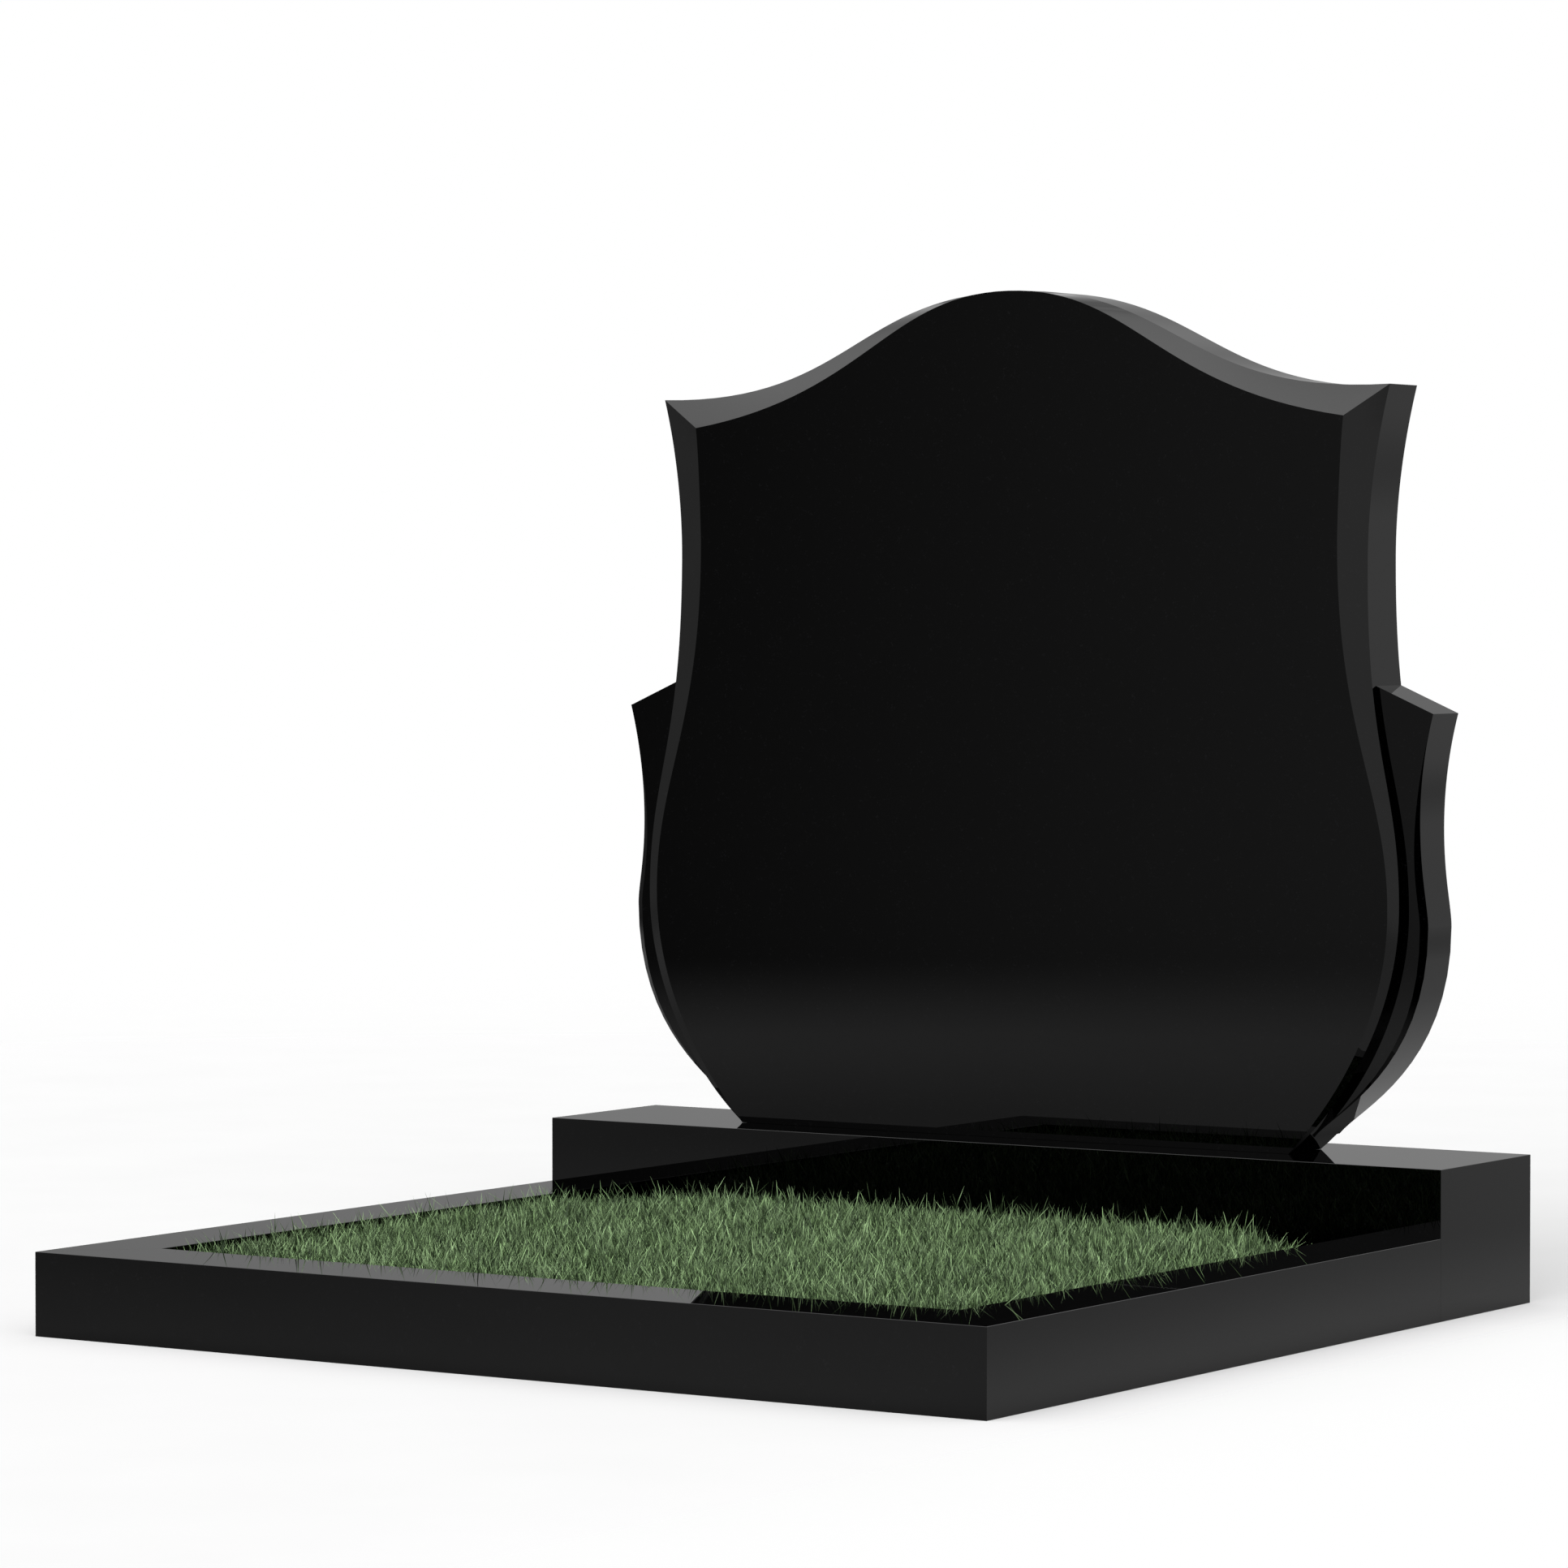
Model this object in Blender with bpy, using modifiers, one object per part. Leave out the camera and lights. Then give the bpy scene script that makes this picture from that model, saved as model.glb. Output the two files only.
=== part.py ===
"""Double grave monument in polished dark granite.

A bevelled headstone with two slimmer wings stands on a plinth, in front of which a kerb set
holds a bed of turf. Metres, +Z up. The origin is on the ground in the middle of the footprint,
+X runs across the monument and the front faces -Y.
"""

import math
from typing import NamedTuple

import bmesh
import bpy
from mathutils import Vector
from mathutils.geometry import interpolate_bezier

# Footprint, kerbs and plinth
MONUMENT_WIDTH = 1.800
BED_LENGTH = 1.423  # from the front kerb's outer face to the plinth
KERB_HEIGHT = 0.137
SIDE_KERB_WIDTH = 0.140
FRONT_KERB_WIDTH = 0.149
PLINTH_DEPTH = 0.328
PLINTH_HEIGHT = 0.251
ARRIS = 0.0005  # chamfer on every polished edge
JOINT = 0.0003  # gap where two stones meet

# Turf
TURF_DROP = 0.010  # its top below the kerb's top
TURF_CLEARANCE = 0.002
TURF_ROUNDING = 0.012

# Headstone, with heights above the plinth
HEADSTONE_THICKNESS = 0.1145
CROWN_HEIGHT = 1.4724
SHOULDER_HALF_WIDTH = 0.7360
SHOULDER_HEIGHT = 1.2970
WAIST_HALF_WIDTH = 0.6968
WAIST_HEIGHT = 1.0030
BELLY_HALF_WIDTH = 0.7620
BELLY_HEIGHT = 0.4136
FOOT_HALF_WIDTH = 0.5567

# Headstone bevel: nothing at the crown and the foot, widest at the shoulder
SHOULDER_BEVEL_WIDTH = 0.0790
SHOULDER_BEVEL_DROP = 0.0520
WAIST_BEVEL_WIDTH = 0.0508
WAIST_BEVEL_RISE = 0.0320
BELLY_BEVEL_WIDTH = 0.0190
BEVEL_DEPTH = 0.0170
BEVEL_FOOT_DEPTH = 0.0020
BEVEL_DEEP_ABOVE = 1.225  # height from which the bevel has its full depth
BEVEL_SHALLOW_BELOW = 0.180  # height under which it is as deep as at the foot

# Wings, with heights above the plinth and reaches outward from the headstone's side
WING_THICKNESS = 0.0910
WING_ROOT_HEIGHT = 0.7920
WING_CORNER_HEIGHT = 0.7460
WING_CORNER_REACH = 0.1017
WING_WAIST_HEIGHT = 0.5546
WING_WAIST_REACH = 0.0390
WING_BELLY_HEIGHT = 0.3870
WING_BELLY_REACH = 0.0431
WING_TIP_HEIGHT = 0.0300
WING_TIP_THICKNESS = 0.0025
WING_BEVEL_WIDTH = 0.0126
WING_BEVEL_DEPTH = 0.0065
WING_BEVEL_RUN_IN = 0.45  # share of the height over which the bevel opens below the corner
WING_BEVEL_RUN_OUT = 0.55  # share of the height over which it closes above the tip

# Faceting
CURVE_STEPS = 30  # for each stretch of the headstone's outline
WING_STEPS = 16  # for each stretch of a wing's outline
CREASE_ANGLE = math.radians(25.0)

# Planes and heights that follow
FRONT_Y = -(BED_LENGTH + PLINTH_DEPTH) / 2
PLINTH_FRONT_Y = FRONT_Y + BED_LENGTH
HEADSTONE_FRONT_Y = PLINTH_FRONT_Y + (PLINTH_DEPTH - HEADSTONE_THICKNESS) / 2
WING_FRONT_Y = HEADSTONE_FRONT_Y + HEADSTONE_THICKNESS - WING_THICKNESS
SEAT_Z = PLINTH_HEIGHT + JOINT


class Knot(NamedTuple):
    """A point of an outline seen from the front.

    The curve arrives and leaves in the given directions, in degrees from +X, and its handles
    reach the given shares of the straight distance to the knot before and after.
    """

    x: float
    z: float
    arrive: float = 0.0
    reach_in: float = 0.0
    leave: float = 0.0
    reach_out: float = 0.0


def clear_scene():
    for thing in list(bpy.data.objects):
        bpy.data.objects.remove(thing, do_unlink=True)


def finish(name, colour, roughness):
    """A plain dielectric finish for one piece."""
    material = bpy.data.materials.new(name)
    material.use_nodes = True
    shader = material.node_tree.nodes["Principled BSDF"]
    shader.inputs["Base Color"].default_value = (*colour, 1.0)
    shader.inputs["Roughness"].default_value = roughness
    shader.inputs["Metallic"].default_value = 0.0
    return material


def polished_granite(name):
    return finish(name + "_granite", (0.006, 0.006, 0.007), 0.02)


def turf(name):
    return finish(name + "_turf", (0.10, 0.13, 0.06), 0.9)


def add_piece(name, bm, location, material, collection):
    """Makes an object of the mesh at a place, in the collection."""
    mesh = bpy.data.meshes.new(name)
    bm.to_mesh(mesh)
    bm.free()
    mesh.materials.append(material)
    piece = bpy.data.objects.new(name, mesh)
    piece.location = location
    collection.objects.link(piece)
    return piece


def box_mesh(width, depth, height):
    """A box that stands on its own origin."""
    bm = bmesh.new()
    bmesh.ops.create_cube(bm, size=1.0)
    bmesh.ops.translate(bm, vec=(0.0, 0.0, 0.5), verts=bm.verts)
    bmesh.ops.scale(bm, vec=(width, depth, height), verts=bm.verts)
    return bm


def weigh_edges(bm, chosen):
    """Marks for the bevel the edges for which chosen says yes to both end points."""
    weight = bm.edges.layers.float.new("bevel_weight_edge")
    for edge in bm.edges:
        start, end = (vert.co for vert in edge.verts)
        edge[weight] = 1.0 if chosen(start, end) else 0.0


def bevel_weighted(piece, width, segments=1):
    bevel = piece.modifiers.new("Edges", "BEVEL")
    bevel.limit_method = "WEIGHT"
    bevel.width = width
    bevel.segments = segments


def add_front_kerb(collection):
    """The front kerb, mitred at both ends so that no joint shows on its faces."""
    bm = box_mesh(MONUMENT_WIDTH, FRONT_KERB_WIDTH, KERB_HEIGHT)
    for vert in bm.verts:
        if vert.co.y > 0.0:
            vert.co.x -= math.copysign(SIDE_KERB_WIDTH, vert.co.x)
    weigh_edges(bm, lambda a, b: a.z > 0.0 and b.z > 0.0 and a.y == b.y)
    place = (0.0, FRONT_Y + FRONT_KERB_WIDTH / 2, 0.0)
    piece = add_piece("front_kerb", bm, place, polished_granite("front_kerb"), collection)
    bevel_weighted(piece, ARRIS)


def add_side_kerb(name, side, collection):
    """A side kerb, from the mitre to the plinth; side is -1 on the left and 1 on the right."""
    mitre_gap = JOINT * math.hypot(SIDE_KERB_WIDTH, FRONT_KERB_WIDTH) / SIDE_KERB_WIDTH
    length = BED_LENGTH - JOINT - mitre_gap
    bm = box_mesh(SIDE_KERB_WIDTH, length, KERB_HEIGHT)
    for vert in bm.verts:
        if vert.co.y < 0.0 and vert.co.x * side < 0.0:
            vert.co.y += FRONT_KERB_WIDTH
    weigh_edges(bm, lambda a, b: a.z > 0.0 and b.z > 0.0 and a.x == b.x)
    across = side * (MONUMENT_WIDTH - SIDE_KERB_WIDTH) / 2
    place = (across, FRONT_Y + mitre_gap + length / 2, 0.0)
    piece = add_piece(name, bm, place, polished_granite(name), collection)
    bevel_weighted(piece, ARRIS)


def add_plinth(collection):
    bm = box_mesh(MONUMENT_WIDTH, PLINTH_DEPTH, PLINTH_HEIGHT)
    weigh_edges(bm, lambda a, b: a.z > 0.0 or b.z > 0.0)
    place = (0.0, PLINTH_FRONT_Y + PLINTH_DEPTH / 2, 0.0)
    piece = add_piece("plinth", bm, place, polished_granite("plinth"), collection)
    bevel_weighted(piece, ARRIS)


def add_turf_bed(collection):
    """The soil and turf inside the kerbs, on the ground, with a rounded upper edge."""
    width = MONUMENT_WIDTH - 2 * (SIDE_KERB_WIDTH + TURF_CLEARANCE)
    depth = BED_LENGTH - FRONT_KERB_WIDTH - 2 * TURF_CLEARANCE
    bm = box_mesh(width, depth, KERB_HEIGHT - TURF_DROP)
    weigh_edges(bm, lambda a, b: a.z > 0.0 and b.z > 0.0)
    place = (0.0, PLINTH_FRONT_Y - TURF_CLEARANCE - depth / 2, 0.0)
    piece = add_piece("turf_bed", bm, place, turf("turf_bed"), collection)
    bevel_weighted(piece, TURF_ROUNDING, segments=4)


def curve_points(knots, steps):
    """Points along the curve through the knots, as 2D vectors (across, height)."""
    points = []
    for start, end in zip(knots, knots[1:]):
        first = Vector((start.x, start.z))
        last = Vector((end.x, end.z))
        chord = (last - first).length
        leave = math.radians(start.leave)
        arrive = math.radians(end.arrive)
        out_handle = first + start.reach_out * chord * Vector((math.cos(leave), math.sin(leave)))
        in_handle = last - end.reach_in * chord * Vector((math.cos(arrive), math.sin(arrive)))
        stretch = interpolate_bezier(first, out_handle, in_handle, last, steps + 1)
        points.extend(stretch if not points else stretch[1:])
    return points


def headstone_outline():
    """The right half of the headstone's true outline, from the crown down to the foot."""
    knots = [
        Knot(0.0, CROWN_HEIGHT, leave=0.0, reach_out=0.436),
        Knot(SHOULDER_HALF_WIDTH, SHOULDER_HEIGHT, 1.9, 0.527, -104.7, 0.509),
        Knot(WAIST_HALF_WIDTH, WAIST_HEIGHT, -90.0, 0.138, -90.0, 0.570),
        Knot(BELLY_HALF_WIDTH, BELLY_HEIGHT, -90.0, 0.358, -90.0, 0.334),
        Knot(FOOT_HALF_WIDTH, 0.0, arrive=-141.3, reach_in=0.336),
    ]
    return curve_points(knots, CURVE_STEPS)


def face_outline():
    """The right half of the edge of the headstone's front face, inside the bevel."""
    shoulder_x = SHOULDER_HALF_WIDTH - SHOULDER_BEVEL_WIDTH
    shoulder_z = SHOULDER_HEIGHT - SHOULDER_BEVEL_DROP
    waist_x = WAIST_HALF_WIDTH - WAIST_BEVEL_WIDTH
    waist_z = WAIST_HEIGHT + WAIST_BEVEL_RISE
    knots = [
        Knot(0.0, CROWN_HEIGHT, leave=0.0, reach_out=0.360),
        Knot(shoulder_x, shoulder_z, -8.2, 0.532, -96.7, 0.285),
        Knot(waist_x, waist_z, -90.0, 0.095, -90.0, 0.516),
        Knot(BELLY_HALF_WIDTH - BELLY_BEVEL_WIDTH, BELLY_HEIGHT, -90.0, 0.3225, -90.0, 0.395),
        Knot(FOOT_HALF_WIDTH, 0.0, arrive=-133.2, reach_in=0.294),
    ]
    return curve_points(knots, CURVE_STEPS)


def bevel_depth(height):
    """How far behind the front face the bevel ends, at a height above the plinth."""
    share = (height - BEVEL_SHALLOW_BELOW) / (BEVEL_DEEP_ABOVE - BEVEL_SHALLOW_BELOW)
    share = min(max(share, 0.0), 1.0)
    return BEVEL_FOOT_DEPTH + share * (BEVEL_DEPTH - BEVEL_FOOT_DEPTH)


def loft(rings, closed):
    """A solid through rings of 3D points, front ring first, with flat ends.

    The rings hold equally many points. Where two rings share a point, the faces between them
    close up. Rings that aren't closed leave the solid open between their two ends.
    """
    bm = bmesh.new()
    rows = [[bm.verts.new(point) for point in ring] for ring in rings]
    count = len(rows[0])
    for front, back in zip(rows, rows[1:]):
        for index in range(count if closed else count - 1):
            after = (index + 1) % count
            bm.faces.new((front[index], front[after], back[after], back[index]))
    bm.faces.new(rows[0])
    bm.faces.new(reversed(rows[-1]))
    along_rings = set()
    for row in rows:
        along_rings.update(frozenset(pair) for pair in zip(row, row[1:] + row[:1]))
    for edge in bm.edges:
        edge.smooth = frozenset(edge.verts) not in along_rings
    bmesh.ops.remove_doubles(bm, verts=bm.verts, dist=0.00001)
    bmesh.ops.recalc_face_normals(bm, faces=bm.faces)
    for edge in bm.edges:
        if edge.calc_face_angle(0.0) > CREASE_ANGLE:
            edge.smooth = False
    for face in bm.faces:
        face.smooth = True
    return bm


def add_headstone(collection):
    """The headstone, as one half that Mirror completes."""
    outline = headstone_outline() + [Vector((0.0, 0.0))]
    face = face_outline() + [Vector((0.0, 0.0))]
    front = [(point.x, 0.0, point.y) for point in face]
    shoulder = [(point.x, bevel_depth(point.y), point.y) for point in outline]
    back = [(point.x, HEADSTONE_THICKNESS, point.y) for point in outline]
    bm = loft([front, shoulder, back], closed=False)
    place = (0.0, HEADSTONE_FRONT_Y, SEAT_Z)
    piece = add_piece("headstone", bm, place, polished_granite("headstone"), collection)
    mirror = piece.modifiers.new("Other half", "MIRROR")
    mirror.merge_threshold = 0.0001


def point_at_height(points, height):
    """Where a row of points that runs downward passes a height."""
    for upper, lower in zip(points, points[1:]):
        if lower.y <= height < upper.y:
            return upper.lerp(lower, (upper.y - height) / (upper.y - lower.y))
    raise ValueError("no point of the row is at height " + str(height))


def moved_outward(points, distances):
    """The points of a row that runs downward, each moved square to the row, +X outward."""
    moved = []
    for index, (point, distance) in enumerate(zip(points, distances)):
        before = points[max(index - 1, 0)]
        after = points[min(index + 1, len(points) - 1)]
        along = (after - before).normalized()
        moved.append(point + distance * Vector((-along.y, along.x)))
    return moved


def wing_inner_edge():
    """The wing's edge against the headstone's right side, from its root down to its tip."""
    side = headstone_outline()[CURVE_STEPS:]
    root = point_at_height(side, WING_ROOT_HEIGHT)
    tip = point_at_height(side, WING_TIP_HEIGHT)
    row = [root] + [point for point in side if tip.y < point.y < root.y] + [tip]
    return moved_outward(row, [JOINT] * len(row))


def wing_outer_edge(inner_edge):
    """The wing's free edge, from its corner down to its tip."""
    side = headstone_outline()[CURVE_STEPS:]
    corner_x = point_at_height(side, WING_CORNER_HEIGHT).x + WING_CORNER_REACH
    waist_x = point_at_height(side, WING_WAIST_HEIGHT).x + WING_WAIST_REACH
    belly_x = point_at_height(side, WING_BELLY_HEIGHT).x + WING_BELLY_REACH
    blunting = moved_outward(inner_edge[-2:], [WING_TIP_THICKNESS] * 2)[-1]
    knots = [
        Knot(corner_x, WING_CORNER_HEIGHT, leave=-105.2, reach_out=0.213),
        Knot(waist_x, WING_WAIST_HEIGHT, -90.0, 0.442, -90.0, 0.513),
        Knot(belly_x, WING_BELLY_HEIGHT, -90.0, 0.200, -90.0, 0.577),
        Knot(blunting.x, blunting.y, arrive=-130.0, reach_in=0.139),
    ]
    return curve_points(knots, WING_STEPS)


def ramp(share):
    """Rises from 0 to 1 as the share does, levelling out at 1."""
    return math.sin(min(max(share, 0.0), 1.0) * math.pi / 2)


def gentle_ramp(share):
    """Rises from 0 to 1 as the share does, levelling out at both ends."""
    return 0.5 - 0.5 * math.cos(min(max(share, 0.0), 1.0) * math.pi)


def wing_bevel_strength(height):
    """1 where the wing's bevel is full, falling to 0 at its corner and its tip."""
    share = (height - WING_TIP_HEIGHT) / (WING_CORNER_HEIGHT - WING_TIP_HEIGHT)
    return ramp(share / WING_BEVEL_RUN_OUT) * gentle_ramp((1.0 - share) / WING_BEVEL_RUN_IN)


def add_wing(name, side, collection):
    """A wing, flush with the headstone's back; side is -1 on the left and 1 on the right."""
    inner = wing_inner_edge()
    outer = wing_outer_edge(inner)
    strengths = [wing_bevel_strength(point.y) for point in outer]
    face_edge = moved_outward(outer, [-WING_BEVEL_WIDTH * strength for strength in strengths])
    depths = [WING_BEVEL_DEPTH * strength for strength in strengths] + [0.0] * len(inner)
    outline = outer + inner[::-1]
    face = face_edge + inner[::-1]
    front = [(side * point.x, 0.0, point.y) for point in face]
    shoulder = [(side * p.x, depth, p.y) for p, depth in zip(outline, depths)]
    back = [(side * point.x, WING_THICKNESS, point.y) for point in outline]
    bm = loft([front, shoulder, back], closed=True)
    place = (0.0, WING_FRONT_Y, SEAT_Z)
    add_piece(name, bm, place, polished_granite(name), collection)


def main():
    clear_scene()
    collection = bpy.data.collections.new("double_granite_monument")
    bpy.context.scene.collection.children.link(collection)
    add_front_kerb(collection)
    add_side_kerb("left_kerb", -1, collection)
    add_side_kerb("right_kerb", 1, collection)
    add_plinth(collection)
    add_headstone(collection)
    add_wing("left_wing", -1, collection)
    add_wing("right_wing", 1, collection)
    add_turf_bed(collection)


main()
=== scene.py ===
"""Looks of the double grave monument: polished black granite around a bed of turf."""

import math
import random

import bmesh
import bpy
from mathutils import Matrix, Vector


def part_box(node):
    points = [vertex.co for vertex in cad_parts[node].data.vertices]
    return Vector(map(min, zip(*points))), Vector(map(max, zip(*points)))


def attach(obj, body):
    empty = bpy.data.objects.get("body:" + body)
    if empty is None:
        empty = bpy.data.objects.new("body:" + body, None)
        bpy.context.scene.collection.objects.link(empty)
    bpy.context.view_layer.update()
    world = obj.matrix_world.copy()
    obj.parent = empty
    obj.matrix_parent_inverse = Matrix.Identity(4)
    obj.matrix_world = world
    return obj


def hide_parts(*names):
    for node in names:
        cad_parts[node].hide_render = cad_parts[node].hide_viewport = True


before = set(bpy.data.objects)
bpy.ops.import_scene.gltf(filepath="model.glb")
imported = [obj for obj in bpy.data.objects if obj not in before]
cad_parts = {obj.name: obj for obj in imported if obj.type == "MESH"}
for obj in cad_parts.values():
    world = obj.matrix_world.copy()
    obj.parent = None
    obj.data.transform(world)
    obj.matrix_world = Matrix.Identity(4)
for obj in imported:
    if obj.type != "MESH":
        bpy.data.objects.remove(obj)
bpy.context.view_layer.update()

# Stones, in metres
LOW_STONES = ("front_kerb", "left_kerb", "right_kerb", "plinth")
UPRIGHT_STONES = ("headstone", "left_wing", "right_wing")
MERGE_DISTANCE = 0.000002  # points of the CAD mesh that lie closer are one
FLAT_ANGLE = math.radians(0.02)  # faces that meet at less are one
SAME_PLANE = 0.00002  # points that are less off a plane lie on it
CREASE_ANGLE = math.radians(12.0)  # edges that turn by more stay crisp
ARRIS_RADIUS = 0.0008  # rounding of the long outer edges of the upright stones
ARRIS_SEGMENTS = 2

# Granite
GRANITE_COLOURS = ((0.00002, 0.00002, 0.00003, 1.0), (0.0015, 0.0015, 0.0017, 1.0))
GRANITE_IOR = 1.28  # low for granite, so that a white floor shows as dark in it as in the picture
GRANITE_POLISH = (0.0, 0.010)  # roughness, from the clearest to the dullest places
CRYSTAL_SCALE = 420.0
CRYSTAL_SPAN = (0.86, 1.0)  # of the crystals' random values, those that give a pale grain
CLOUD_SPAN = (0.45, 0.70)  # of the cloud's values, those over which the pale grains come in

# Noise textures, each with its scale and detail
GRANITE_CLOUD = (60.0, 5.0)
SOIL_CLODS = (90.0, 8.0)
TURF_TUFTS = (14.0, 3.0)
FLOOR_SPECKS = (3.0, 4.0)
NOISE_SPAN = (0.35, 0.65)  # the values of a noise over which one look turns into another
WIDE_NOISE_SPAN = (0.3, 0.7)

# Soil, in metres
SOIL_DEPTH = 0.055  # soil surface below the top of the kerbs
SOIL_CELL = 0.020
SOIL_RELIEF = 0.004
SOIL_WAVES = ((31.0, 17.0, 0.0), (23.0, -41.0, 1.3))  # radians per metre of x and y, and start
SOIL_RIPPLES = ((83.0, 61.0, 0.4), (71.0, -97.0, 0.0))
SOIL_SHARES = (0.3, 0.4)  # of the waves' sum and the ripples' product in the relief
SOIL_CREASE_ANGLE = math.radians(50.0)
SOIL_COLOURS = ((0.006, 0.006, 0.004, 1.0), (0.020, 0.018, 0.011, 1.0))
SOIL_ROUGHNESS = 0.95
CLOD_HEIGHT = 0.004

# Turf, in metres
TURF_SEED = 20
TURF_PATCHES = 4
EDGE_CLEARANCE = 0.002  # between a blade or the soil and the kerbs' inner faces
FOOT_CLEARANCE = 3 * EDGE_CLEARANCE  # the same for a blade's foot
THIN_FRONT = (0.00, 0.20)  # distances from a corner: no growth, full growth
THIN_BACK = (0.17, 0.22)
CORNER_RISE = 0.95  # share of their height that blades keep at a thin corner
BLADE_SPACING = 0.0052
BLADE_WIDTH = 0.0020
BLADE_WIDTH_RANGE = (0.70, 1.15)  # of single blades, as shares of that width
BLADE_TAPER = (0.80, 1.00, 0.85)  # shares of a blade's own width, from its foot up
BLADE_FACES = ((0, 1, 3, 2), (2, 3, 5, 4), (4, 5, 6))
BLADE_LEVELS = (0.0, 0.36, 0.70, 1.0)  # shares of a blade's length that have points
BLADE_ROOT = 0.002  # depth of its foot in the soil
BLADE_RISE = (0.060, 0.008)  # of its tip over its foot before it droops, mean and spread
BLADE_RISE_RANGE = (0.020, 0.108)
TALL_BLADE_RISE = (0.083, 0.011)
TALL_BLADE_SHARE = 0.09
BLADE_LEAN = (0.36, 0.18)  # the tip's reach sideways as a share of the rise, mean and spread
BLADE_BEND = 1.20  # power of the reach along a blade, 1 for a straight one
BLADE_DROOP = 0.12  # share of the rise by which the tip hangs, less by the cube toward the foot
BLADE_PAINTED_SHADE_SPAN = (0.60, 0.95)  # painted shade: dark up to the first share of its length, palest from the second
PALE_BLADE_RARITY = 1.5  # above 1, fewer blades are pale than dark; the dark blades are partly painted shade
# Painted shade at the blades' foot, from the darkest blade to the palest
BLADE_FOOT_SHADE_COLOURS = ((0.003, 0.008, 0.002, 1.0), (0.012, 0.024, 0.006, 1.0))
# Tip colours from near black to pale: partly each blade's own tone, partly painted shade for
# blades turned from the light
FRESH_TIP_COLOURS = ((0.004, 0.010, 0.002, 1.0), (0.222, 0.347, 0.152, 1.0))
DRY_TIP_COLOURS = ((0.006, 0.013, 0.003, 1.0), (0.249, 0.360, 0.187, 1.0))
BLADE_ROUGHNESS = 0.6
BLADE_SPECULAR = 0.10

# Floor, in metres
FLOOR_RADIUS = 9.5
FLOOR_SIDES = 96
FLOOR_FADE = (4.2, 9.2)  # distances from the middle between which the floor fades out
FLOOR_SIDE_FADE = (0.60, 1.55)  # distances to the right between which it fades out too
FLOOR_SHADOW_PLACE = (-1.9, -1.9, 0.0)  # painted shadow: half clear here, so that the floor shows darker in stone
FLOOR_SHADOW_REACH = (0.3, 2.8)  # distances from there over which it fills up again
FLOOR_SHADOW_SHARE = 0.48
FLOOR_GREY = 0.262
FLOOR_SPECK_RISE = 1.02

# Studio light
BACKDROP_LIGHT = 1.0  # seen directly
BASE_LIGHT = 0.93
BASE_TILT = (0.33, -0.47, 0.0)  # the horizon is lighter to the right and in front
DIM_FRONT = (math.radians(-38.9), 2.18)  # azimuth from the front, and the light's rise per radian
DIM_LEFT = (math.radians(-104.0), 1.25)
SCREEN_AZIMUTH = math.radians(25.0)  # a dark screen on the horizon at front right
SCREEN_EDGE = (math.radians(5.0), math.radians(7.5))  # from its middle, where it fades out
LOW_BAND = -0.108  # sine of the elevation of a dim band under the horizon
LOW_BAND_EDGE = (0.0, 0.07)  # from its middle, where it fades out
LOW_BAND_LIGHT = 0.76
LAMP_LIGHT = 6.9
LAMP_ELEVATION = math.radians(25.0)  # of the broad light in front
LAMP_FALLOFF = 0.8  # power of the cosine of the angle to its middle
LAMP_FOOT = (0.26, 0.46)  # sines of the elevations over which it fades in
REAR_LIGHT = 1.9  # overhead and behind, where the lamp is weaker
REAR_FOOT = (0.32, 0.60)
DOME_FOOT = (0.11, 0.36)  # the same for both together

# Camera, in the frame's metres
CAMERA_PLACE = (5.3997, -8.1826, 1.1822)
CAMERA_PITCH = math.radians(-1.741)
CAMERA_YAW = math.radians(33.579)
CAMERA_VIEW = math.radians(15.0)

# Sockets of a Mix node for colours, which share their names with others
MIX_SHARE = 0
MIX_FIRST = 6
MIX_SECOND = 7
MIX_RESULT = 2


def held(value, low, high):
    """The value, kept between two limits."""
    return min(max(value, low), high)


def add_node(tree, kind, inputs=None, **settings):
    """A new shader node. Of its inputs, sockets are linked and values are set."""
    node = tree.nodes.new(kind)
    for key, value in settings.items():
        setattr(node, key, value)
    for key, value in (inputs or {}).items():
        if isinstance(value, bpy.types.NodeSocket):
            tree.links.new(value, node.inputs[key])
        else:
            node.inputs[key].default_value = value
    return node


def calculate(tree, operation, *values):
    """The result of a Math node on up to three values or sockets."""
    node = add_node(tree, "ShaderNodeMath", dict(enumerate(values)), operation=operation)
    return node.outputs["Value"]


def multiply(tree, product, *factors):
    """The product of two or more values or sockets."""
    for factor in factors:
        product = calculate(tree, "MULTIPLY", product, factor)
    return product


def away_from(tree, value, centre):
    """How far a value is from a centre, to either side."""
    return calculate(tree, "ABSOLUTE", calculate(tree, "SUBTRACT", value, centre))


def measure(tree, operation, *vectors):
    """A number from vectors, such as a length, a distance or a dot product."""
    node = add_node(tree, "ShaderNodeVectorMath", dict(enumerate(vectors)), operation=operation)
    return node.outputs["Value"]


def rescale(tree, value, from_range, to_range=(0.0, 1.0), smooth=False):
    """A value moved from one range to another and held inside it."""
    inputs = {"Value": value, "From Min": from_range[0], "From Max": from_range[1]}
    inputs.update({"To Min": to_range[0], "To Max": to_range[1]})
    blend = "SMOOTHSTEP" if smooth else "LINEAR"
    node = add_node(tree, "ShaderNodeMapRange", inputs, interpolation_type=blend)
    return node.outputs["Result"]


def object_place(tree):
    """The place on the object's own axes."""
    return add_node(tree, "ShaderNodeTexCoord").outputs["Object"]


def noise(tree, place, scale_and_detail):
    """A soft random value that changes from place to place."""
    scale, detail = scale_and_detail
    inputs = {"Vector": place, "Scale": scale, "Detail": detail}
    return add_node(tree, "ShaderNodeTexNoise", inputs).outputs["Fac"]


def grey(level):
    return (level, level, level, 1.0)


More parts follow.
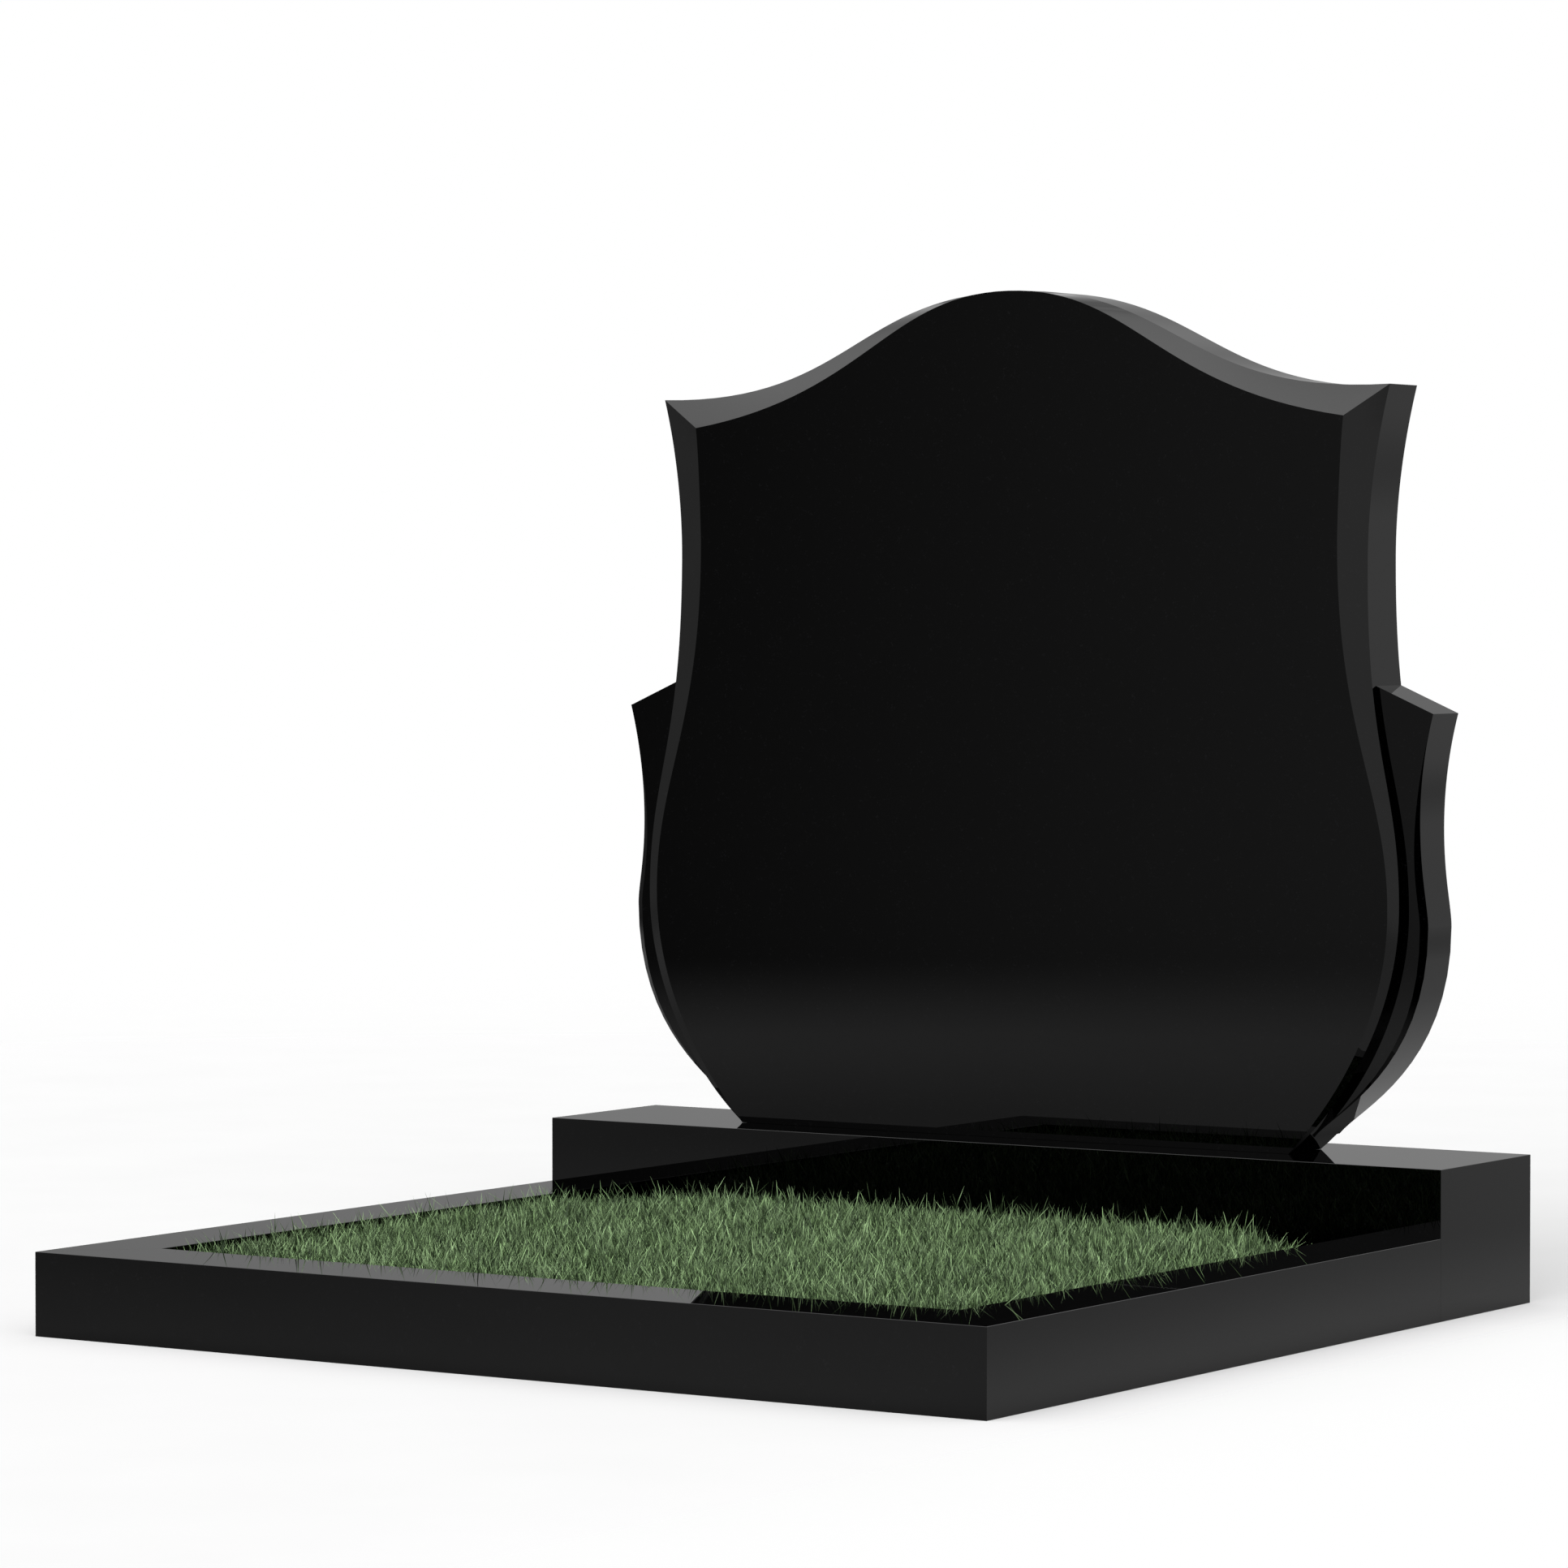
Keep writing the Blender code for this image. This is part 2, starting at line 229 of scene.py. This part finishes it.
def blend_colours(tree, share, first, second):
    """The first colour where the share is 0, the second where it is 1."""
    inputs = {MIX_SHARE: share, MIX_FIRST: first, MIX_SECOND: second}
    return add_node(tree, "ShaderNodeMix", inputs, data_type="RGBA").outputs[MIX_RESULT]


def new_material(name):
    """A material with an empty node tree, and its Principled shader."""
    material = bpy.data.materials.new(name)
    material.use_nodes = True
    tree = material.node_tree
    tree.nodes.clear()
    output = add_node(tree, "ShaderNodeOutputMaterial")
    shader = add_node(tree, "ShaderNodeBsdfPrincipled")
    tree.links.new(shader.outputs["BSDF"], output.inputs["Surface"])
    return material, tree, shader


def granite_material():
    """Black granite with a mirror polish: dark crystals with a few faint pale grains."""
    material, tree, shader = new_material("polished_black_granite")
    place = object_place(tree)
    crystal_inputs = {"Vector": place, "Scale": CRYSTAL_SCALE}
    crystals = add_node(tree, "ShaderNodeTexVoronoi", crystal_inputs).outputs["Color"]
    grain = add_node(tree, "ShaderNodeSeparateColor", {"Color": crystals}).outputs["Red"]
    cloud = noise(tree, place, GRANITE_CLOUD)
    pale = rescale(tree, grain, CRYSTAL_SPAN)
    patch = rescale(tree, cloud, CLOUD_SPAN)
    colour = blend_colours(tree, multiply(tree, pale, patch), *GRANITE_COLOURS)
    tree.links.new(colour, shader.inputs["Base Color"])
    polish = rescale(tree, cloud, WIDE_NOISE_SPAN, GRANITE_POLISH)
    tree.links.new(polish, shader.inputs["Roughness"])
    shader.inputs["IOR"].default_value = GRANITE_IOR
    return material


def soil_material():
    """Dark soil, matt and cloddy."""
    material, tree, shader = new_material("dark_soil")
    clods = noise(tree, object_place(tree), SOIL_CLODS)
    colour = blend_colours(tree, rescale(tree, clods, NOISE_SPAN), *SOIL_COLOURS)
    tree.links.new(colour, shader.inputs["Base Color"])
    height = add_node(tree, "ShaderNodeBump", {"Height": clods, "Distance": CLOD_HEIGHT})
    tree.links.new(height.outputs["Normal"], shader.inputs["Normal"])
    shader.inputs["Roughness"].default_value = SOIL_ROUGHNESS
    return material


def blade_material():
    """Grass with painted shade: dark at the foot, paler at the tip; each blade has a random tone,
    partly painted shade.
    """
    material, tree, shader = new_material("grass_blade")
    along = add_node(tree, "ShaderNodeAttribute", attribute_name="along_blade").outputs["Fac"]
    chance = add_node(tree, "ShaderNodeNewGeometry").outputs["Random Per Island"]
    # each blade's tone: partly random, partly painted shade for blades in shade and the gaps
    # between them
    own = calculate(tree, "POWER", chance, PALE_BLADE_RARITY)
    patch = rescale(tree, noise(tree, object_place(tree), TURF_TUFTS), NOISE_SPAN)
    foot = blend_colours(tree, own, *BLADE_FOOT_SHADE_COLOURS)
    fresh = blend_colours(tree, own, *FRESH_TIP_COLOURS)
    dry = blend_colours(tree, own, *DRY_TIP_COLOURS)
    tip = blend_colours(tree, patch, fresh, dry)
    # painted shade: each blade is dark over its lower part, as if shaded deep in the turf
    colour = blend_colours(tree, rescale(tree, along, BLADE_PAINTED_SHADE_SPAN), foot, tip)
    tree.links.new(colour, shader.inputs["Base Color"])
    shader.inputs["Roughness"].default_value = BLADE_ROUGHNESS
    shader.inputs["Specular IOR Level"].default_value = BLADE_SPECULAR
    return material


def floor_material():
    """A pale matt floor that fades out away from the monument, with a painted shadow at its left
    front: a half-clear patch that shows darker in the stone.
    """
    material, tree, shader = new_material("pale_floor")
    place = object_place(tree)
    share = rescale(tree, noise(tree, place, FLOOR_SPECKS), WIDE_NOISE_SPAN)
    colour = blend_colours(tree, share, grey(FLOOR_GREY), grey(FLOOR_SPECK_RISE * FLOOR_GREY))
    tree.links.new(colour, shader.inputs["Base Color"])
    shader.inputs["Roughness"].default_value = 1.0
    shader.inputs["Specular IOR Level"].default_value = 0.0
    distance = measure(tree, "LENGTH", place)
    near = rescale(tree, distance, FLOOR_FADE, (1.0, 0.0), smooth=True)
    across = add_node(tree, "ShaderNodeSeparateXYZ", {"Vector": place}).outputs["X"]
    beside = rescale(tree, across, FLOOR_SIDE_FADE, (1.0, 0.0), smooth=True)
    # painted shadow: the floor is half clear around this place, so that it shows darker in the
    # stone
    from_shadow_place = measure(tree, "DISTANCE", place, FLOOR_SHADOW_PLACE)
    thin = rescale(tree, from_shadow_place, FLOOR_SHADOW_REACH, (FLOOR_SHADOW_SHARE, 1.0))
    tree.links.new(multiply(tree, near, beside, thin), shader.inputs["Alpha"])
    return material


def finished_mesh(bm, name, material):
    """A mesh with one material, from a bmesh that is freed."""
    mesh = bpy.data.meshes.new(name)
    bm.to_mesh(mesh)
    bm.free()
    mesh.materials.append(material)
    return mesh


def add_object(name, data):
    """A new object in the scene."""
    thing = bpy.data.objects.new(name, data)
    bpy.context.scene.collection.objects.link(thing)
    return thing


def merged_stone(name):
    """A CAD stone's mesh with its split points and flat faces joined up again."""
    bm = bmesh.new()
    bm.from_mesh(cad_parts[name].data)
    bmesh.ops.remove_doubles(bm, verts=bm.verts, dist=MERGE_DISTANCE)
    bmesh.ops.dissolve_limit(bm, angle_limit=FLAT_ANGLE, verts=bm.verts, edges=bm.edges)
    return bm


def face_kind(face, front, back):
    """Which surface of an upright stone a face belongs to."""
    depths = [vert.co.y for vert in face.verts]
    on_front = [abs(depth - front) < SAME_PLANE for depth in depths]
    on_back = [abs(depth - back) < SAME_PLANE for depth in depths]
    if all(on_front):
        return "front"
    if all(on_back):
        return "back"
    if any(on_back):
        return "side"
    return "bevel"


def add_polished_stone(name, granite):
    """The stone's form with smooth curved faces, crisp creases and rounded arrises."""
    low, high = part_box(name)
    bm = merged_stone(name)
    kinds = {face: face_kind(face, low[1], high[1]) for face in bm.faces}
    weight = bm.edges.layers.float.new("bevel_weight_edge")
    for edge in bm.edges:
        met = {kinds[face] for face in edge.link_faces}
        edge.smooth = len(met) == 1 and edge.calc_face_angle(0.0) < CREASE_ANGLE
        if "side" in met and len(met) == 2:
            edge[weight] = 1.0
    for face in bm.faces:
        face.smooth = True
    mesh = finished_mesh(bm, name + "_polished", granite)
    piece = add_object(name + "_polished", mesh)
    bevel = piece.modifiers.new("Arris", "BEVEL")
    bevel.limit_method = "WEIGHT"
    bevel.width = ARRIS_RADIUS
    bevel.segments = ARRIS_SEGMENTS
    bevel.harden_normals = True
    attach(piece, "root")
    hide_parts(name)


def add_turf_piece(name, mesh):
    """A piece that takes the place of the CAD's plain bed of turf, with the others."""
    piece = add_object(name, mesh)
    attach(piece, "root")
    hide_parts("turf_bed")


class Bed:
    """The ground inside the kerbs, from the frame."""

    def __init__(self):
        _, left_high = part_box("left_kerb")
        right_low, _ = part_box("right_kerb")
        _, front_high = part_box("front_kerb")
        plinth_low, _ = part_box("plinth")
        self.left = left_high[0]
        self.right = right_low[0]
        self.front = front_high[1]
        self.back = plinth_low[1]
        self.kerb_top = left_high[2]
        self.soil_top = self.kerb_top - SOIL_DEPTH

    def inside(self, x, y, margin):
        """The nearest place to (x, y) that keeps a margin to the kerbs and the plinth."""
        across = held(x, self.left + margin, self.right - margin)
        along = held(y, self.front + margin, self.back - margin)
        return across, along

    def growth(self, x, y):
        """1 where the turf is full, less toward the three corners where it is thin."""
        front = (self.left, self.front, THIN_FRONT)
        backs = [(corner_x, self.back, THIN_BACK) for corner_x in (self.left, self.right)]
        shares = [1.0]
        for corner_x, corner_y, (bare, full) in (front, *backs):
            distance = math.hypot(x - corner_x, y - corner_y)
            shares.append(max((distance - bare) / (full - bare), 0.0))
        return min(shares)


def wave_heights(waves, x, y):
    """How high each of some waves stands at a place, from -1 to 1."""
    return [math.sin(along_x * x + along_y * y + start) for along_x, along_y, start in waves]


def soil_height(x, y):
    """Gentle unevenness of the soil, from a few crossing waves."""
    swell = sum(wave_heights(SOIL_WAVES, x, y))
    ripple = math.prod(wave_heights(SOIL_RIPPLES, x, y))
    return SOIL_RELIEF * (SOIL_SHARES[0] * swell + SOIL_SHARES[1] * ripple)


def add_soil(bed, material):
    """A block of soil with an uneven top that fills the kerbs from the ground up."""
    columns = int((bed.right - bed.left) / SOIL_CELL)
    rows = int((bed.back - bed.front) / SOIL_CELL)
    bm = bmesh.new()
    bmesh.ops.create_grid(bm, x_segments=columns, y_segments=rows, size=0.5)  # 1 m square
    width = bed.right - bed.left - 2 * EDGE_CLEARANCE
    depth = bed.back - bed.front - 2 * EDGE_CLEARANCE
    bmesh.ops.scale(bm, vec=(width, depth, 1.0), verts=bm.verts)
    middle = ((bed.left + bed.right) / 2, (bed.front + bed.back) / 2, 0.0)
    bmesh.ops.translate(bm, vec=middle, verts=bm.verts)
    for vert in bm.verts:
        vert.co.z = bed.soil_top + soil_height(vert.co.x, vert.co.y)
    rim = [edge for edge in bm.edges if edge.is_boundary]
    feet = {}
    for edge in rim:
        for vert in edge.verts:
            if vert not in feet:
                feet[vert] = bm.verts.new((vert.co.x, vert.co.y, 0.0))
    for edge in rim:
        first, second = edge.verts
        bm.faces.new((first, second, feet[second], feet[first]))
    bmesh.ops.contextual_create(bm, geom=[edge for edge in bm.edges if edge.is_boundary])
    bmesh.ops.recalc_face_normals(bm, faces=bm.faces)
    mesh = finished_mesh(bm, "soil", material)
    mesh.shade_smooth()
    mesh.set_sharp_from_angle(angle=SOIL_CREASE_ANGLE)
    add_turf_piece("soil", mesh)


def blade_spine(bed, x, y, dice):
    """Four points of a blade's middle line, from its foot in the soil to its tip."""
    tall = dice.random() < TALL_BLADE_SHARE
    rise = held(dice.gauss(*(TALL_BLADE_RISE if tall else BLADE_RISE)), *BLADE_RISE_RANGE)
    rise = rise * (CORNER_RISE + (1.0 - CORNER_RISE) * bed.growth(x, y))
    reach = rise * abs(dice.gauss(*BLADE_LEAN))
    heading = dice.uniform(0.0, 2.0 * math.pi)
    foot_z = bed.soil_top + soil_height(x, y) - BLADE_ROOT
    spine = []
    for share in BLADE_LEVELS:
        out = reach * share ** BLADE_BEND
        point_x = x + out * math.cos(heading)
        point_y = y + out * math.sin(heading)
        z = foot_z + rise * (share - BLADE_DROOP * share ** 3)
        if z < bed.kerb_top + EDGE_CLEARANCE:
            point_x, point_y = bed.inside(point_x, point_y, EDGE_CLEARANCE)
        point_y = min(point_y, bed.back - EDGE_CLEARANCE)
        spine.append(Vector((point_x, point_y, z)))
    return spine


class Blades:
    """Points and faces of many blades, and each point's share of its blade's length."""

    def __init__(self):
        self.points = []
        self.faces = []
        self.shares = []

    def add(self, spine, dice):
        """A tapering strip along the spine: two quads and a triangle at the tip."""
        turn = dice.uniform(0.0, math.pi)
        side = Vector((math.cos(turn), math.sin(turn), 0.0))
        half = 0.5 * BLADE_WIDTH * dice.uniform(*BLADE_WIDTH_RANGE)
        first = len(self.points)
        for centre, width, share in zip(spine, BLADE_TAPER, BLADE_LEVELS):
            self.points.append(centre - side * half * width)
            self.points.append(centre + side * half * width)
            self.shares.extend((share, share))
        self.points.append(spine[-1])
        self.shares.append(BLADE_LEVELS[-1])
        for corners in BLADE_FACES:
            self.faces.append([first + corner for corner in corners])

    def mesh(self, name, material):
        """All blades in one mesh, which keeps the shares for the material."""
        mesh = bpy.data.meshes.new(name)
        mesh.from_pydata(self.points, [], self.faces)
        mesh.materials.append(material)
        mesh.shade_smooth()
        along = mesh.attributes.new("along_blade", "FLOAT", "POINT")
        along.data.foreach_set("value", self.shares)
        return mesh


def add_turf(bed, material):
    """Blades on a jittered grid, in patches across the bed."""
    dice = random.Random(TURF_SEED)
    patch_width = (bed.right - bed.left) / TURF_PATCHES
    columns = int(patch_width / BLADE_SPACING)
    rows = int((bed.back - bed.front) / BLADE_SPACING)
    for patch in range(TURF_PATCHES):
        blades = Blades()
        for column in range(columns):
            for row in range(rows):
                x = bed.left + patch * patch_width + (column + dice.random()) * BLADE_SPACING
                y = bed.front + (row + dice.random()) * BLADE_SPACING
                x, y = bed.inside(x, y, FOOT_CLEARANCE)
                if dice.random() <= bed.growth(x, y):
                    blades.add(blade_spine(bed, x, y, dice), dice)
        name = f"turf_blades_{patch + 1}"
        add_turf_piece(name, blades.mesh(name, material))


def add_floor():
    bm = bmesh.new()
    bmesh.ops.create_circle(bm, cap_ends=True, segments=FLOOR_SIDES, radius=FLOOR_RADIUS)
    floor = add_object("floor", finished_mesh(bm, "floor", floor_material()))


def horizon_light(tree, direction, azimuth, sine):
    """The light all round, by azimuth and the elevation's sine.

    It is dim in two directions and in a low band, and dark behind a screen.
    """
    light = calculate(tree, "ADD", measure(tree, "DOT_PRODUCT", direction, BASE_TILT), BASE_LIGHT)
    for dim_azimuth, slope in (DIM_FRONT, DIM_LEFT):
        dimming = multiply(tree, away_from(tree, azimuth, dim_azimuth), slope)
        light = multiply(tree, light, calculate(tree, "MINIMUM", dimming, 1.0))
    from_screen = away_from(tree, azimuth, SCREEN_AZIMUTH)
    beside_screen = rescale(tree, from_screen, SCREEN_EDGE, smooth=True)
    from_band = away_from(tree, sine, LOW_BAND)
    beside_band = rescale(tree, from_band, LOW_BAND_EDGE, (LOW_BAND_LIGHT, 1.0), smooth=True)
    return multiply(tree, light, beside_screen, beside_band)


def dome_light(tree, direction, sine):
    """The light from above, by the elevation's sine: a broad lamp in front and a dimmer rear."""
    lamp_axis = (0.0, -math.cos(LAMP_ELEVATION), math.sin(LAMP_ELEVATION))
    facing = calculate(tree, "MAXIMUM", measure(tree, "DOT_PRODUCT", direction, lamp_axis), 0.0)
    falloff = calculate(tree, "POWER", facing, LAMP_FALLOFF)
    over_foot = rescale(tree, sine, LAMP_FOOT, smooth=True)
    lamp = multiply(tree, falloff, LAMP_LIGHT, over_foot)
    rear = rescale(tree, sine, REAR_FOOT, (0.0, REAR_LIGHT), smooth=True)
    over_horizon = rescale(tree, sine, DOME_FOOT, smooth=True)
    return multiply(tree, calculate(tree, "MAXIMUM", lamp, rear), over_horizon)


def add_studio_light():
    """A soft studio all round. Seen directly, the backdrop is an even white."""
    world = bpy.data.worlds.new("studio")
    bpy.context.scene.world = world
    world.use_nodes = True
    tree = world.node_tree
    tree.nodes.clear()
    direction = add_node(tree, "ShaderNodeTexCoord").outputs["Generated"]
    parts = add_node(tree, "ShaderNodeSeparateXYZ", {"Vector": direction}).outputs
    azimuth = calculate(tree, "ARCTAN2", parts["X"], multiply(tree, parts["Y"], -1.0))
    horizon = horizon_light(tree, direction, azimuth, parts["Z"])
    lighting = calculate(tree, "ADD", dome_light(tree, direction, parts["Z"]), horizon)
    seen = add_node(tree, "ShaderNodeLightPath").outputs["Is Camera Ray"]
    unseen = calculate(tree, "SUBTRACT", 1.0, seen)
    backdrop = multiply(tree, seen, BACKDROP_LIGHT)
    total = calculate(tree, "MULTIPLY_ADD", unseen, lighting, backdrop)
    background = add_node(tree, "ShaderNodeBackground", {"Color": grey(1.0), "Strength": total})
    output = add_node(tree, "ShaderNodeOutputWorld")
    tree.links.new(background.outputs["Background"], output.inputs["Surface"])


def add_camera():
    lens = bpy.data.cameras.new("camera")
    lens.sensor_fit = "HORIZONTAL"
    lens.lens_unit = "FOV"
    lens.angle = CAMERA_VIEW
    camera = add_object("camera", lens)
    camera.location = CAMERA_PLACE
    camera.rotation_euler = (math.radians(90.0) + CAMERA_PITCH, 0.0, CAMERA_YAW)
    bpy.context.scene.camera = camera


def main():
    granite = granite_material()
    for name in LOW_STONES:
        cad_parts[name].material_slots[0].material = granite
    for name in UPRIGHT_STONES:
        add_polished_stone(name, granite)
    bed = Bed()
    add_soil(bed, soil_material())
    add_turf(bed, blade_material())
    add_floor()
    add_studio_light()
    add_camera()
    bpy.context.scene.view_settings.view_transform = "Standard"


main()
